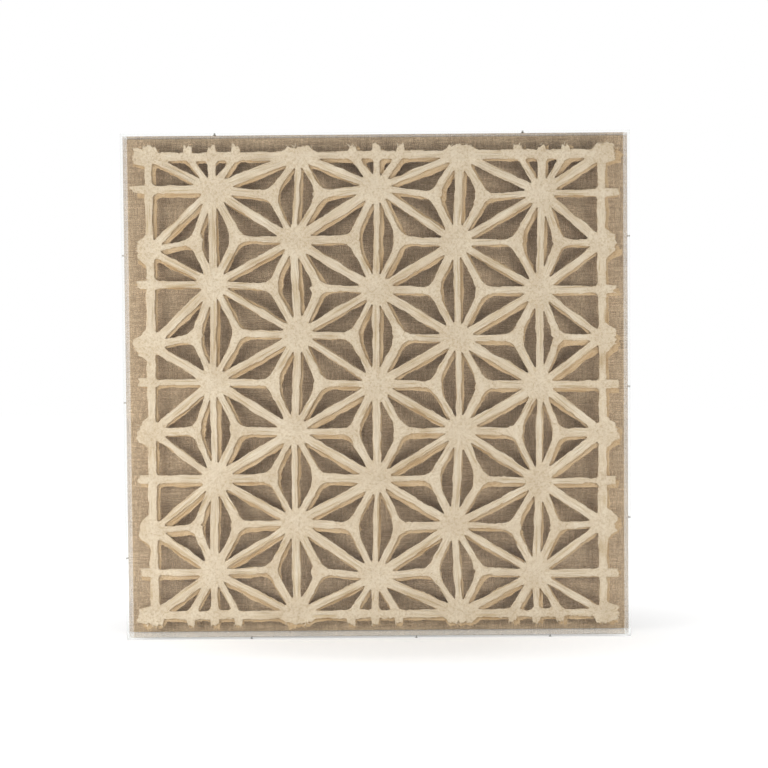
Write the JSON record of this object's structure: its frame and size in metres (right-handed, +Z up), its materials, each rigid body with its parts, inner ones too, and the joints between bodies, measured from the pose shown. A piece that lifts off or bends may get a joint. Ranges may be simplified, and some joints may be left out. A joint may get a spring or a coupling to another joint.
{
  "type": "framed layered paper art",
  "caption": "Clear acrylic box frame with stacked sheets of cut handmade paper in a hemp-leaf lattice over a linen panel; stands on its base or hangs from sawtooth hangers.",
  "frame": {"origin": "middle of the underside of the case, on the surface it stands on", "axes": "+X to the right as the front is seen, +Y from the front panel to the back, +Z up"},
  "size_m": [0.8, 0.076, 0.8],
  "materials": {
    "acrylic": "polished clear acrylic",
    "linen": "natural undyed plain weave",
    "fibreboard": "raw fibreboard",
    "pine": "planed, unfinished",
    "screw_steel": "zinc plated",
    "hanger_steel": "zinc plated",
    "paper": "fibrous handmade paper",
    "card": "plain card"
  },
  "bodies": {
    "root": {"front_panel": "acrylic", "top_wall": "acrylic", "bottom_wall": "acrylic", "left_wall": "acrylic", "right_wall": "acrylic", "linen_cover": "linen", "backing_board": "fibreboard", "strainer_top": "pine", "strainer_bottom": "pine", "strainer_left": "pine", "strainer_right": "pine", "case_screws": "screw_steel", "paper_back": "paper", "paper_front": "paper", "back_pads": "card", "front_pads": "card", "hanger_left": "hanger_steel", "hanger_right": "hanger_steel", "hanger_nails": "hanger_steel"}
  },
  "joints": []
}
